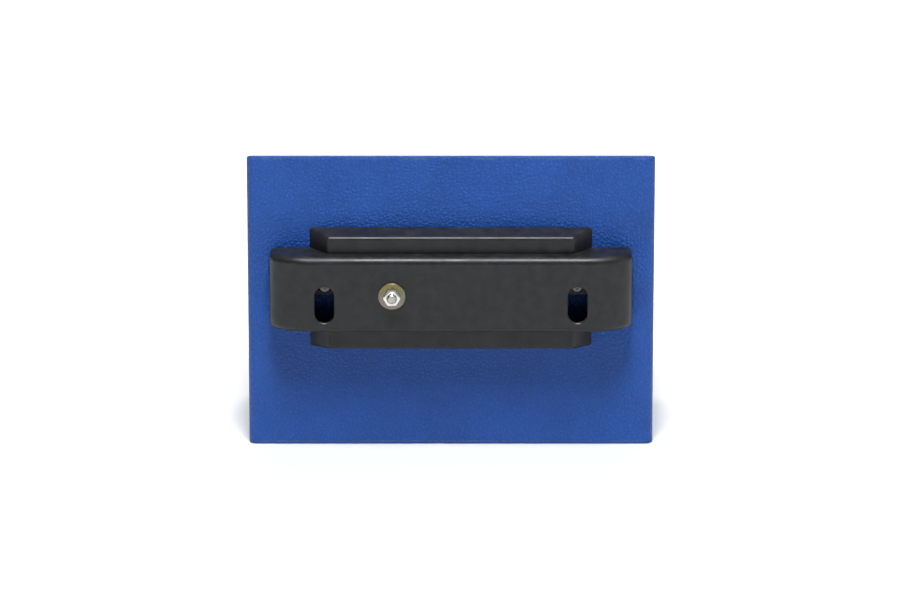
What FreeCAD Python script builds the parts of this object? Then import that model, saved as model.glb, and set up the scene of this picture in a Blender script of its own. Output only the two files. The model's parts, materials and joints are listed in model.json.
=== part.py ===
import FreeCAD, Part
import math
import os

# Compact parking pay station that hangs on a post or wall by a moulded bracket on its back.
# Millimetres. Origin: centre of the bracket's outer flat face. +Y points out of the bracket,
# towards the post; the user stands on the -Y side with +X to the right; +Z is up.

V = FreeCAD.Vector

# ---- body ------------------------------------------------------------------------------------
BODY_W = 360.0            # width of the housing
BODY_BASE = -149.0        # underside of the housing
TUB_D = 141.0             # rear face to front rim
WALL = 3.0
CORNER_R = 7.0            # upright rear edges
EDGE_R = 1.5              # roof and floor edges
ROOF_FALL = 22.0          # degrees, roof falls towards the front
CANOPY_REACH = 8.0        # roof stands this far in front of the door
DOOR_TOP = 50.8           # top edge of the door
HEAD_GAP = 1.4            # door's top edge to the canopy's underside
LAND_T = 3.0              # front frame, the gasket's land
LAND_W = 11.0             # land width, top, bottom and lock side
HINGE_LAND_W = 27.0       # land width on the hinge side

# ---- bracket on the back ---------------------------------------------------------------------
STAND_OFF = 34.0          # bracket's outer face to the rear face
BAR_W = 320.0
BAR_H = 69.0
BAR_END = 39.0            # length of each rounded end
BAR_SIDE = 14.0           # straight side behind the rounded end
BAR_EDGE_R = 6.0
PED_W = 249.5             # pedestal block at the rear face
PED_H = 110.0
PED_DEPTH = 20.0
PED_TAPER_X = 16.0        # each end leans in by this much
PED_TAPER_Z = 3.5
PED_DROP = 2.0            # pedestal's centre below the bar's centre
PED_EDGE_R = 3.2          # every edge of the block in front of the rear face
BRACKET_WALL = 3.5
SLOT_X = 111.6
SLOT_Z = -8.7
SLOT_W = 17.2
SLOT_L = 33.2
SLOT_CHAMFER = 0.7        # lead-in round the mouth of each slot
BOLT_X = 52.0             # M8 bolt
BOLT_R = 4.0
BOLT_PLAY = 0.25
NUT_AF = 13.0
NUT_H = 6.8
WASHER_R = 12.0
WASHER_T = 2.0
SPACER_R = 7.0
SPACER_PLAY = 0.2
SPACER_BOSS_WALL = 2.8    # moulded boss round the spacer
RIB_T = 2.5
RIBS_X = (-60.0, 0.0)     # stiffening ribs inside the bar
BACKING_T = 2.0
TAB_W = 20.0
TAB_T = 3.0               # floor tabs that the two bracket screws clamp
SCREW_R = 2.1
SCREW_PLAY = 0.1
SCREW_HEAD_R = 6.0
SCREW_HEAD_H = 3.0
CROSS_L, CROSS_W = 5.0, 1.0          # cross recess in each head
BOLT_HEAD_H = 5.3
BOLT_PROUD = 2.5          # thread that stands out of the nut

# ---- door and hinge --------------------------------------------------------------------------
DOOR_T = 3.0
BARREL_R = 4.5
PIN_R = 2.0
FIT = 0.05                # running clearance on radius
GAP = 0.3                 # clearance between neighbouring pieces
LEAF_GAP = 0.5            # hinge barrel to the door and to the leaves
KNUCKLES = 5
RIM_GAP = 1.0             # door flange to rim
LEAF_T = 1.5
LEAF_W = 9.0
LEAF_END = 1.0            # leaves stop this far from the door's flanges
GASKET_GAP = 1.0          # gasket to the edge of the hinge leaves

# ---- front layout (x, z) ---------------------------------------------------------------------
DISPLAY_AT = (-79.0, 0.5)
WINDOW_W, WINDOW_H = 116.0, 62.0
BEZEL_SIDE, BEZEL_END = 14.0, 13.0   # frame round the window
MODULE_EDGE = 7.0         # display module reaches this far past the window
PILLAR_INSET = 7.0        # board pillars from the module's edges
BUTTON_X = 20.0
BUTTON_TOP_Z = 28.5
BUTTON_PITCH = 22.0
BUTTON_R = 6.2
BUTTON_SHANK_R = 8.0      # threaded body behind the ring
BUTTON_BODY_L = 16.0      # body behind the door
BUTTON_TRAVEL = 2.0
COIN_AT = (112.0, 16.5)
COIN_SLOT_W, COIN_SLOT_H = 3.4, 30.0
PAD_AT = (-100.0, -74.0)
PAD_W, PAD_H = 84.0, 50.0
CARD_AT = (20.0, -78.0)
CARD_SLOT_W, CARD_SLOT_H = 56.0, 1.8
TICKET_AT = (-79.0, -121.0)
TICKET_W, TICKET_H, TICKET_D = 100.0, 28.0, 36.0
RETURN_AT = (105.0, -119.0)
RETURN_W, RETURN_H, RETURN_D = 56.0, 32.0, 40.0
CUP_WALL = 2.0
LOCK_INSET, LOCK_Z = 28.0, -72.0
LOCK_R = 9.0
PLUG_R = 6.0
CAM_BITE = 6.5            # turned cam lies this far behind the land

# ---- inside ----------------------------------------------------------------------------------
BOSS_R, BOSS_H = 6.0, 10.0           # bosses hold the chassis plate off the rear wall
CHASSIS_SCREW_R, CHASSIS_SCREW_L = 2.0, 8.0
CHASSIS_T = 2.0
CHASSIS_SCREW_INSET = 45.0
CHASSIS_SCREW_Z = (-115.0, 80.0)
PLATE_Z = (-130.0, 95.0)             # chassis plate, low and high
DOOR_ZONE = 51.0          # depth behind the door that door-mounted units may use
ZONE_GAP = 3.0
PAPER_W = 57.5
ROLL_R = 35.0
ROLL_Z = 5.0
SPINDLE_R = 8.4
PLATEN_R = 7.0
PLATEN_SHAFT_R = 2.5
PLATEN_Z = -80.0
GEAR_MODULE = 1.0
PLATEN_TEETH = 20
PINION_TEETH = 12
MESH_ANGLE = -35.0        # line of centres, platen to pinion, about +X from +Y
MOTOR_R = 8.0
FRAME_HALF = 38.0         # printer side plates from the centre of the paper
COIN_BOX_W, COIN_BOX_D, COIN_BOX_H = 90.0, 66.0, 64.0
COIN_BOX_LEAD = 42.0      # box starts this far left of the coin slot
CABLE_AT = (15.0, -85.0)
CABLE_R = 10.25

# ---- planes worked out from the sizes above --------------------------------------------------
REAR_Y = -STAND_OFF
REAR_IN_Y = REAR_Y - WALL
RIM_Y = REAR_Y - TUB_D
LAND_BACK_Y = RIM_Y + LAND_T
HINGE_Y = RIM_Y - BARREL_R
DOOR_FACE_Y = HINGE_Y - BARREL_R
DOOR_IN_Y = DOOR_FACE_Y + DOOR_T
CANOPY_Y = DOOR_FACE_Y - CANOPY_REACH
HALF_W = BODY_W / 2.0
HINGE_X = -HALF_W + BARREL_R
LEAF_X = HINGE_X + BARREL_R + LEAF_GAP       # leaves and door start here
DOOR_X0 = LEAF_X
FLOOR_Z = BODY_BASE + WALL
ROOF_SLOPE = math.tan(math.radians(ROOF_FALL))
ROOF_T = WALL / math.cos(math.radians(ROOF_FALL))
BODY_TOP = DOOR_TOP + HEAD_GAP + ROOF_T + (REAR_Y - CANOPY_Y) * ROOF_SLOPE
OPEN_X0 = -HALF_W + HINGE_LAND_W
OPEN_X1 = HALF_W - LAND_W
OPEN_Z0 = BODY_BASE + LAND_W
OPEN_Z1 = DOOR_TOP - LAND_W
PLATE_BACK_Y = REAR_IN_Y - BOSS_H
PLATE_Y = PLATE_BACK_Y - CHASSIS_T          # front face of the chassis plate
UNIT_END_Y = DOOR_IN_Y + DOOR_ZONE          # rearmost plane of door-mounted units
CHASSIS_Y = UNIT_END_Y + ZONE_GAP           # frontmost plane of chassis-mounted units
PAPER_X = TICKET_AT[0]
BEZEL_W, BEZEL_H = WINDOW_W + 2 * BEZEL_SIDE, WINDOW_H + 2 * BEZEL_END
MODULE_W, MODULE_H = WINDOW_W + 2 * MODULE_EDGE, WINDOW_H + 2 * MODULE_EDGE
LOCK_AT = (HALF_W - LOCK_INSET, LOCK_Z)
CAM_REACH = LOCK_INSET - LAND_W + CAM_BITE
PLATE_X0, PLATE_X1 = -HALF_W + 30.0, HALF_W - 20.0   # chassis plate


# ---- small helpers ---------------------------------------------------------------------------
def block(x0, x1, y0, y1, z0, z1):
    return Part.makeBox(x1 - x0, y1 - y0, z1 - z0, V(x0, y0, z0))


def rod_x(r, x0, x1, y, z):
    return Part.makeCylinder(r, x1 - x0, V(x0, y, z), V(1, 0, 0))


def rod_y(r, y0, y1, x, z):
    return Part.makeCylinder(r, y1 - y0, V(x, y0, z), V(0, 1, 0))


def rod_z(r, z0, z1, x, y):
    return Part.makeCylinder(r, z1 - z0, V(x, y, z0), V(0, 0, 1))


def join(first, *rest):
    shape = first.fuse(list(rest)) if rest else first
    return shape.removeSplitter()


def prism_x(points, x0, x1):
    """A polygon of (y, z) points, drawn at x0 and pulled to x1."""
    wire = Part.makePolygon([V(x0, y, z) for y, z in points + points[:1]])
    return Part.Face(wire).extrude(V(x1 - x0, 0, 0))


def prism_y(points, y0, y1):
    """A polygon of (x, z) points, drawn at y0 and pulled to y1."""
    wire = Part.makePolygon([V(x, y0, z) for x, z in points + points[:1]])
    return Part.Face(wire).extrude(V(0, y1 - y0, 0))


def round_edges(shape, radius, wanted):
    """Fillet the edges whose every vertex satisfies the test."""
    edges = [e for e in shape.Edges if all(wanted(v.Point) for v in e.Vertexes)]
    return shape.makeFillet(radius, edges)


def panel(at, w, h, y0, y1, r=0.0):
    """A plate facing the user: centre (x, z), width, height, front and back planes."""
    x, z = at
    plate = block(x - w / 2, x + w / 2, y0, y1, z - h / 2, z + h / 2)
    if r <= 0:
        return plate
    upright = [e for e in plate.Edges if abs(e.Length - (y1 - y0)) < 1e-6
               and abs(e.Vertexes[0].Point.y - e.Vertexes[1].Point.y) > 1e-6]
    return plate.makeFillet(r, upright)


def soften_front(shape, radius):
    """Round the edges of the piece's frontmost face."""
    front = shape.BoundBox.YMin
    return round_edges(shape, radius, lambda p: abs(p.y - front) < 1e-6)


def hexagon_y(af, y0, y1, x, z):
    r = af / math.sqrt(3)
    points = [(x + r * math.cos(math.radians(60 * k)), z + r * math.sin(math.radians(60 * k)))
              for k in range(6)]
    return prism_y(points, y0, y1)


def group(solids):
    return Part.makeCompound(solids)


def roof_z(y):
    return BODY_TOP + (y - REAR_Y) * ROOF_SLOPE


# ---- housing ---------------------------------------------------------------------------------
def boss_places():
    x = HALF_W - CHASSIS_SCREW_INSET
    return [(sx * x, z) for sx in (-1, 1) for z in CHASSIS_SCREW_Z]


def cabinet_box():
    """The whole box as one shell, open at the front; its three panels are cut from it."""
    outer = prism_x([(REAR_Y, BODY_BASE), (REAR_Y, BODY_TOP),
                     (CANOPY_Y, roof_z(CANOPY_Y)), (CANOPY_Y, roof_z(CANOPY_Y) - ROOF_T),
                     (RIM_Y, roof_z(RIM_Y) - ROOF_T), (RIM_Y, BODY_BASE)], -HALF_W, HALF_W)
    outer = outer.makeFillet(CORNER_R, rear_uprights(outer, REAR_Y))
    outer = round_edges(outer, EDGE_R, lambda p: abs(p.z - roof_z(p.y)) < 1e-4)
    outer = round_edges(outer, EDGE_R, lambda p: abs(p.z - BODY_BASE) < 1e-6 and p.y > RIM_Y - 1e-6
                        and not (abs(p.y - RIM_Y) < 1e-6 and abs(p.x) < HALF_W - 1))
    inner = prism_x([(REAR_IN_Y, FLOOR_Z), (REAR_IN_Y, roof_z(REAR_IN_Y) - ROOF_T),
                     (RIM_Y - 1, roof_z(RIM_Y - 1) - ROOF_T), (RIM_Y - 1, FLOOR_Z)],
                    -HALF_W + WALL, HALF_W - WALL)
    inner = inner.makeFillet(CORNER_R - WALL, rear_uprights(inner, REAR_IN_Y))
    return outer.cut([inner, hinge_groove()])


def rear_uprights(shape, y):
    return [e for e in shape.Edges if all(abs(v.Point.y - y) < 1e-6 for v in e.Vertexes)
            and abs(e.Vertexes[0].Point.z - e.Vertexes[1].Point.z) > 1.0]


def hinge_groove():
    return rod_z(BARREL_R + GAP, BODY_BASE - 1, DOOR_TOP + 1, HINGE_X, HINGE_Y)


def housing():
    """Folded wrap (rear wall and both sides) with the roof and the floor welded to it."""
    box = cabinet_box()
    above, ahead = REAR_Y + 1, CANOPY_Y - 1
    roof_zone = prism_x([(above, roof_z(above) - ROOF_T), (above, BODY_TOP + 1),
                         (ahead, BODY_TOP + 1), (ahead, roof_z(ahead) - ROOF_T)], -HALF_W - 1, HALF_W + 1)
    floor_zone = block(-HALF_W - 1, HALF_W + 1, RIM_Y - 1, above, BODY_BASE - 1, FLOOR_Z)
    bosses = [rod_y(BOSS_R, PLATE_BACK_Y, REAR_IN_Y, x, z) for x, z in boss_places()]
    wrap = join(box.cut([roof_zone, floor_zone]), *bosses)
    holes = [rod_y(CHASSIS_SCREW_R + FIT, PLATE_BACK_Y - 1, PLATE_BACK_Y + CHASSIS_SCREW_L + 1, x, z)
             for x, z in boss_places()]
    holes.append(rod_y(BOLT_R + BOLT_PLAY, REAR_IN_Y - 1, REAR_Y + 1, BOLT_X, 0))
    holes += [rod_y(SCREW_R + SCREW_PLAY, REAR_IN_Y - 1, REAR_Y + 1, sx * SLOT_X, 0) for sx in (-1, 1)]
    cable_hole = rod_z(CABLE_R, BODY_BASE - 1, FLOOR_Z + 1, *CABLE_AT)
    return {"housing": wrap.cut(holes), "housing_roof": box.common(roof_zone),
            "housing_floor": box.common(floor_zone).cut(cable_hole)}


def front_frame():
    """The flat frame welded into the housing's mouth; the gasket and the fixed hinge leaf sit on it."""
    top = roof_z(RIM_Y) - ROOF_T
    frame = block(-HALF_W + WALL, HALF_W - WALL, RIM_Y, LAND_BACK_Y, FLOOR_Z, top)
    mid = ((OPEN_X0 + OPEN_X1) / 2, (OPEN_Z0 + OPEN_Z1) / 2)
    mouth = panel(mid, OPEN_X1 - OPEN_X0, OPEN_Z1 - OPEN_Z0, RIM_Y - 1, LAND_BACK_Y + 1, 6.0)
    return frame.cut([mouth, hinge_groove()])


# ---- bracket ---------------------------------------------------------------------------------
def bar_shape(half_w, half_h, y_out, end, y_back):
    """The bar in plan: straight front, elliptical ends, and short straight sides."""
    shoulder = y_back + BAR_SIDE
    depth = y_out - shoulder
    corner = half_w - end
    a = V(-half_w, shoulder, -half_h)
    b = V(-corner, y_out, -half_h)
    c = V(corner, y_out, -half_h)
    d = V(half_w, shoulder, -half_h)
    rear_left, rear_right = V(-half_w, y_back, -half_h), V(half_w, y_back, -half_h)
    edges = [quarter(b, a, V(-corner, shoulder, -half_h), end, depth, -1),
             Part.makeLine(b, c),
             quarter(c, d, V(corner, shoulder, -half_h), end, depth, 1),
             Part.makeLine(d, rear_right), Part.makeLine(rear_right, rear_left),
             Part.makeLine(rear_left, a)]
    face = Part.Face(Part.Wire(Part.__sortEdges__(edges)))
    return face.extrude(V(0, 0, 2 * half_h))


def quarter(top, tip, centre, rx, ry, side):
    """Quarter ellipse from the bar's front to its end."""
    if rx >= ry:
        curve = Part.Ellipse(centre + V(side * rx, 0, 0), centre + V(0, ry, 0), centre)
    else:
        curve = Part.Ellipse(centre + V(0, ry, 0), centre + V(side * rx, 0, 0), centre)
    middle = centre + V(side * rx * math.sqrt(0.5), ry * math.sqrt(0.5), 0)
    first = curve.parameter(top)
    last = curve.parameter(tip)
    for low, high in ((first, last), (last, first)):
        arc = Part.ArcOfEllipse(curve, low, high).toShape()
        if arc.distToShape(Part.Vertex(middle))[0] < 1e-3:
            return arc
    raise ValueError("the bar's end has no quarter ellipse")


def pedestal_shape(inset, y_front):
    """The tapered block; inset shrinks every side for the hollow."""
    def outline(y, lean):
        w = PED_W / 2 - inset - lean * PED_TAPER_X
        h = PED_H / 2 - inset - lean * PED_TAPER_Z
        corners = [(-w, -h), (w, -h), (w, h), (-w, h), (-w, -h)]
        return Part.makePolygon([V(x, y, z - PED_DROP) for x, z in corners])
    lean = (y_front - REAR_Y) / PED_DEPTH
    return Part.makeLoft([outline(REAR_Y, 0.0), outline(y_front, lean)], True, True)


def upright_slot(x, z, w, length, y0, y1):
    straight = (length - w) / 2
    return block(x - w / 2, x + w / 2, y0, y1, z - straight, z + straight).fuse(
        [rod_y(w / 2, y0, y1, x, z - straight), rod_y(w / 2, y0, y1, x, z + straight)])


def slot_lead_in(x):
    """A wider, shallow slot whose inner edge is chamfered back to the slot's own size."""
    grow = 2 * SLOT_CHAMFER
    mouth = upright_slot(x, SLOT_Z, SLOT_W + grow, SLOT_L + grow, -SLOT_CHAMFER, 1).removeSplitter()
    floor = [e for e in mouth.Edges if all(abs(v.Point.y + SLOT_CHAMFER) < 1e-6 for v in e.Vertexes)]
    return mouth.makeChamfer(SLOT_CHAMFER - 0.01, floor)


def rear_bracket():
    bar = bar_shape(BAR_W / 2, BAR_H / 2, 0.0, BAR_END, REAR_Y)
    front_edges = [e for e in bar.Edges if abs(abs(e.CenterOfMass.z) - BAR_H / 2) < 1e-6
                   and e.CenterOfMass.y > REAR_Y + 1e-3]
    bar = bar.makeFillet(BAR_EDGE_R, front_edges)
    ped = pedestal_shape(0.0, REAR_Y + PED_DEPTH)
    front = REAR_Y + PED_DEPTH
    proud = [e for e in ped.Edges if any(v.Point.y > REAR_Y + 1e-3 for v in e.Vertexes)]
    ped = ped.makeFillet(PED_EDGE_R, proud)
    solid = bar.fuse(ped)
    bar_in = bar_shape(BAR_W / 2 - BRACKET_WALL, BAR_H / 2 - BRACKET_WALL, -BRACKET_WALL,
                       BAR_END - BRACKET_WALL / 2, REAR_Y)
    ped_in = pedestal_shape(BRACKET_WALL, front - BRACKET_WALL)
    shell = solid.cut([bar_in, ped_in])
    tab_top = BAR_H / 2 - BRACKET_WALL + 1
    tabs = [block(sx * SLOT_X - TAB_W / 2, sx * SLOT_X + TAB_W / 2, REAR_Y, REAR_Y + TAB_T, -SCREW_HEAD_R - 2,
                  PED_H / 2 - PED_DROP - BRACKET_WALL) for sx in (-1, 1)]
    bore_r = SPACER_R + SPACER_PLAY
    boss = rod_y(bore_r + SPACER_BOSS_WALL, REAR_Y + 2, -BRACKET_WALL, BOLT_X, 0).cut(
        rod_y(bore_r, REAR_Y, 1, BOLT_X, 0))
    ribs = [block(x - RIB_T / 2, x + RIB_T / 2, REAR_Y + 2, -BRACKET_WALL, -tab_top, tab_top)
            for x in RIBS_X]
    shell = join(shell, *(tabs + [boss] + ribs))
    cuts = [upright_slot(sx * SLOT_X, SLOT_Z, SLOT_W, SLOT_L, -BRACKET_WALL - 1, 1) for sx in (-1, 1)]
    cuts.append(rod_y(BOLT_R + BOLT_PLAY, -BRACKET_WALL - 1, 1, BOLT_X, 0))
    cuts += [rod_y(SCREW_R + SCREW_PLAY, REAR_Y - 1, REAR_Y + TAB_T + 1, sx * SLOT_X, 0)
             for sx in (-1, 1)]
    cuts += [slot_lead_in(sx * SLOT_X) for sx in (-1, 1)]
    return shell.cut(cuts)


def bracket_fixings():
    """Bolt from inside, backing plate, spacer tube, washer, nut, and two pan-head screws."""
    seat = REAR_IN_Y - BACKING_T
    bolt = join(hexagon_y(NUT_AF, seat - BOLT_HEAD_H, seat, BOLT_X, 0),
                rod_y(BOLT_R, seat, WASHER_T + NUT_H + BOLT_PROUD, BOLT_X, 0))
    plate = panel((0, 0), 2 * SLOT_X + 30, 28.0, seat, REAR_IN_Y, 4.0)
    plate = plate.cut([rod_y(BOLT_R + BOLT_PLAY, seat - 1, REAR_IN_Y + 1, BOLT_X, 0)])
    plate = plate.cut([rod_y(SCREW_R + FIT, seat - 1, REAR_IN_Y + 1, sx * SLOT_X, 0) for sx in (-1, 1)])
    spacer = rod_y(SPACER_R, REAR_Y, -BRACKET_WALL, BOLT_X, 0).cut(
        rod_y(BOLT_R + BOLT_PLAY, REAR_Y - 1, 0, BOLT_X, 0))
    washer = rod_y(WASHER_R, 0, WASHER_T, BOLT_X, 0).cut(rod_y(BOLT_R + BOLT_PLAY, -1, 3, BOLT_X, 0))
    nut = hexagon_y(NUT_AF, WASHER_T, WASHER_T + NUT_H, BOLT_X, 0).cut(
        rod_y(BOLT_R + FIT, 0, WASHER_T + NUT_H + 1, BOLT_X, 0))
    screws = []
    for sx in (-1, 1):
        under, top = REAR_Y + TAB_T, REAR_Y + TAB_T + SCREW_HEAD_H
        head = rod_y(SCREW_HEAD_R, under, top, sx * SLOT_X, 0)
        head = round_edges(head, 1.4, lambda p: abs(p.y - top) < 1e-6)
        shank = rod_y(SCREW_R, seat - 4.0, REAR_Y + TAB_T, sx * SLOT_X, 0)
        cross = join(panel((sx * SLOT_X, 0), CROSS_L, CROSS_W, under + 1.2, top + 1),
                     panel((sx * SLOT_X, 0), CROSS_W, CROSS_L, under + 1.2, top + 1))
        screws.append(join(head, shank).cut(cross))
    return {"bracket_bolt": bolt, "backing_plate": plate, "bracket_spacer": spacer,
            "bracket_washer": washer, "bracket_nut": nut, "bracket_screws": group(screws)}


# ---- door, hinge, gasket ---------------------------------------------------------------------
def button_places():
    return [(BUTTON_X, BUTTON_TOP_Z - k * BUTTON_PITCH) for k in range(4)]


def door():
    flange_y = RIM_Y - RIM_GAP
    tray = block(DOOR_X0, HALF_W, DOOR_FACE_Y, flange_y, BODY_BASE, DOOR_TOP)
    front = [e for e in tray.Edges if all(abs(v.Point.y - DOOR_FACE_Y) < 1e-6 for v in e.Vertexes)
             and max(v.Point.x for v in e.Vertexes) > DOOR_X0 + 1]
    tray = tray.makeFillet(1.5, front)
    hollow = block(DOOR_X0 - 1, HALF_W - DOOR_T, DOOR_IN_Y, flange_y + 1,
                   BODY_BASE + DOOR_T, DOOR_TOP - DOOR_T)
    y0, y1 = DOOR_FACE_Y - 1, DOOR_IN_Y + 1
    cuts = [hollow,
            panel(DISPLAY_AT, WINDOW_W + 8, WINDOW_H + 8, y0, y1, 3.0),
            panel(COIN_AT, COIN_SLOT_W + 12, COIN_SLOT_H + 6, y0, y1, 3.0),
            panel(PAD_AT, PAD_W - 14, PAD_H - 14, y0, y1, 4.0),
            panel(CARD_AT, CARD_SLOT_W + 4, 16.0, y0, y1, 2.0),
            panel(TICKET_AT, TICKET_W, TICKET_H, y0, y1, 2.0),
            panel(RETURN_AT, RETURN_W, RETURN_H, y0, y1, 2.0),
            rod_y(LOCK_R + 0.1, y0, y1, *LOCK_AT)]
    cuts += [rod_y(BUTTON_SHANK_R + 0.2, y0, y1, x, z) for x, z in button_places()]
    return tray.cut(cuts)


def hinge():
    """Two leaves with alternate knuckles, and one pin through all of them."""
    z0, z1 = BODY_BASE + DOOR_T + LEAF_END, DOOR_TOP - DOOR_T - LEAF_END
    pitch = (z1 - z0) / KNUCKLES
    leaf_x = LEAF_X
    fixed = block(leaf_x, leaf_x + LEAF_W, RIM_Y - LEAF_T, RIM_Y, z0, z1)
    moving = block(leaf_x, leaf_x + LEAF_W, DOOR_IN_Y, DOOR_IN_Y + LEAF_T, z0, z1)
    for k in range(KNUCKLES):
        low, high = z0 + k * pitch + GAP / 2, z0 + (k + 1) * pitch - GAP / 2
        barrel = rod_z(BARREL_R, low, high, HINGE_X, HINGE_Y)
        if k % 2 == 0:
            web = block(HINGE_X, leaf_x, RIM_Y - LEAF_T, RIM_Y, low, high)
            fixed = fixed.fuse([barrel, web])
        else:
            web = block(HINGE_X, leaf_x, DOOR_IN_Y, DOOR_IN_Y + LEAF_T, low, high)
            moving = moving.fuse([barrel, web])
    bore = rod_z(PIN_R + FIT, z0 - 1, z1 + 1, HINGE_X, HINGE_Y)
    pin = join(rod_z(PIN_R, z0, z1, HINGE_X, HINGE_Y), rod_z(3.6, z1, z1 + 1.2, HINGE_X, HINGE_Y))
    return {"housing_hinge_leaf": join(fixed).cut(bore), "door_hinge_leaf": join(moving).cut(bore),
            "hinge_pin": pin}


def door_gasket():
    x0, x1 = LEAF_X + LEAF_W + GASKET_GAP, HALF_W - DOOR_T - 0.5
    z0, z1 = BODY_BASE + DOOR_T + 0.5, DOOR_TOP - DOOR_T - 0.5
    mid = ((x0 + x1) / 2, (z0 + z1) / 2)
    ring = panel(mid, x1 - x0, z1 - z0, DOOR_IN_Y + GAP, RIM_Y, 6.0)
    hole = ((OPEN_X0 + OPEN_X1) / 2, (OPEN_Z0 + OPEN_Z1) / 2)
    return ring.cut(panel(hole, OPEN_X1 - OPEN_X0 + 2, OPEN_Z1 - OPEN_Z0 + 2,
                          DOOR_IN_Y - 1, RIM_Y + 1, 5.0))


# ---- display ---------------------------------------------------------------------------------
def display():
    bezel = panel(DISPLAY_AT, BEZEL_W, BEZEL_H, DOOR_FACE_Y - 2.5, DOOR_FACE_Y, 8.0)
    bezel = soften_front(bezel, 1.2)
    spigot = panel(DISPLAY_AT, WINDOW_W + 7.4, WINDOW_H + 7.4, DOOR_FACE_Y, DOOR_IN_Y, 2.7)
    bezel = join(bezel, spigot)
    bezel = bezel.cut([panel(DISPLAY_AT, WINDOW_W, WINDOW_H, DOOR_FACE_Y - 4, DOOR_IN_Y + 1, 2.0),
                       panel(DISPLAY_AT, WINDOW_W + 4, WINDOW_H + 4, DOOR_FACE_Y - 1, DOOR_IN_Y + 1, 2.0)])
    window = panel(DISPLAY_AT, WINDOW_W + 3.4, WINDOW_H + 3.4, DOOR_FACE_Y - 1, DOOR_FACE_Y + 1, 1.7)
    back = DOOR_IN_Y + 8.0
    module = panel(DISPLAY_AT, MODULE_W, MODULE_H, DOOR_IN_Y, back, 2.0)
    pillars = [rod_y(2.5, back, back + 3, DISPLAY_AT[0] + sx * (MODULE_W / 2 - PILLAR_INSET),
                      DISPLAY_AT[1] + sz * (MODULE_H / 2 - PILLAR_INSET))
               for sx in (-1, 1) for sz in (-1, 1)]
    module = join(module, *pillars)
    board_y = back + 3.0
    board = panel(DISPLAY_AT, MODULE_W - 6, MODULE_H - 6, board_y, board_y + 1.6, 2.0)
    parts = [panel((DISPLAY_AT[0] - 25, DISPLAY_AT[1] + 8), 24, 24, board_y + 1.6, board_y + 3.6),
             panel((DISPLAY_AT[0] + 22, DISPLAY_AT[1] + 12), 16, 12, board_y + 1.6, board_y + 3.2),
             panel((DISPLAY_AT[0], DISPLAY_AT[1] - 26), 44, 8, board_y + 1.6, board_y + 8.6),
             panel((DISPLAY_AT[0] + 40, DISPLAY_AT[1] - 8), 12, 20, board_y + 1.6, board_y + 7.0)]
    board = join(board, *parts)
    clips = []
    for sx in (-1, 1):
        for sz in (-1, 1):
            side = DISPLAY_AT[0] + sx * (MODULE_W / 2 + GAP)
            outer = side + sx * 4.0
            inner = side - sx * 4.0
            z = DISPLAY_AT[1] + sz * 24
            post = block(min(side, outer), max(side, outer), DOOR_IN_Y, back + 1.5, z - 6, z + 6)
            lip = block(min(inner, outer), max(inner, outer), back, back + 1.5, z - 6, z + 6)
            clips.append(join(post, lip))
    return {"display_bezel": bezel, "display_window": window, "display_module": module,
            "display_board": board, "display_clips": group(clips)}


# ---- buttons ---------------------------------------------------------------------------------
def buttons():
    names = ("button_up", "button_down", "button_confirm", "button_cancel")
    ring_y = DOOR_FACE_Y - 2.0
    back = DOOR_IN_Y + BUTTON_BODY_L
    housings, pieces = [], {}
    for name, (x, z) in zip(names, button_places()):
        ring = soften_front(rod_y(BUTTON_SHANK_R + 3.0, ring_y, DOOR_FACE_Y, x, z), 1.0)
        body = join(ring, rod_y(BUTTON_SHANK_R, DOOR_FACE_Y, back, x, z))
        housings.append(body.cut(rod_y(BUTTON_R + FIT, ring_y - 1, back - 2.0, x, z)))
        cap = rod_y(BUTTON_R, ring_y - 1.8, back - 2.0 - BUTTON_TRAVEL - 1.0, x, z)
        pieces[name] = soften_front(cap, 1.0)
    pieces["button_housings"] = group(housings)
    return pieces


# ---- coins -----------------------------------------------------------------------------------
def coin_path():
    x, z = COIN_AT
    entry = soften_front(panel(COIN_AT, 50, 44, DOOR_FACE_Y - 3, DOOR_FACE_Y, 5.0), 1.2)
    collar = panel(COIN_AT, COIN_SLOT_W + 11.4, COIN_SLOT_H + 5.4, DOOR_FACE_Y, DOOR_IN_Y, 2.7)
    slot = panel(COIN_AT, COIN_SLOT_W, COIN_SLOT_H, DOOR_FACE_Y - 4, DOOR_IN_Y + 1)
    entry = join(entry, collar).cut(slot)
    low, high = z - 66.0, z + 22.0
    back = UNIT_END_Y - 5.0
    validator = block(x - 42, x + 43, DOOR_IN_Y, back, low, high)
    channel = block(x - COIN_SLOT_W / 2, x + COIN_SLOT_W / 2, DOOR_IN_Y - 1, back - 6,
                    low - 1, z + COIN_SLOT_H / 2)
    rib = [block(x - 30, x - 26, back, back + 2, low + 8, high - 8),
           block(x + 26, x + 30, back, back + 2, low + 8, high - 8)]
    validator = join(validator, *rib).cut(channel)
    cup_top = RETURN_AT[1] + RETURN_H / 2 + 2.0
    chute_x, chute_w = RETURN_AT[0], 30.0
    y0, y1 = DOOR_IN_Y + 11.0, UNIT_END_Y - 1.0
    chute = block(chute_x - chute_w / 2, chute_x + chute_w / 2, y0, y1, cup_top, low)
    bore = block(chute_x - chute_w / 2 + 1.5, chute_x + chute_w / 2 - 1.5, y0 + 1.5, y1 - 1.5,
                 cup_top - 1, low + 1)
    gate = block(chute_x - 12, chute_x + 12, y1 - 3, y1 + 1, cup_top + 25, cup_top + 45)
    return {"coin_entry": entry, "coin_validator": validator, "coin_chute": chute.cut([bore, gate])}


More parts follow.
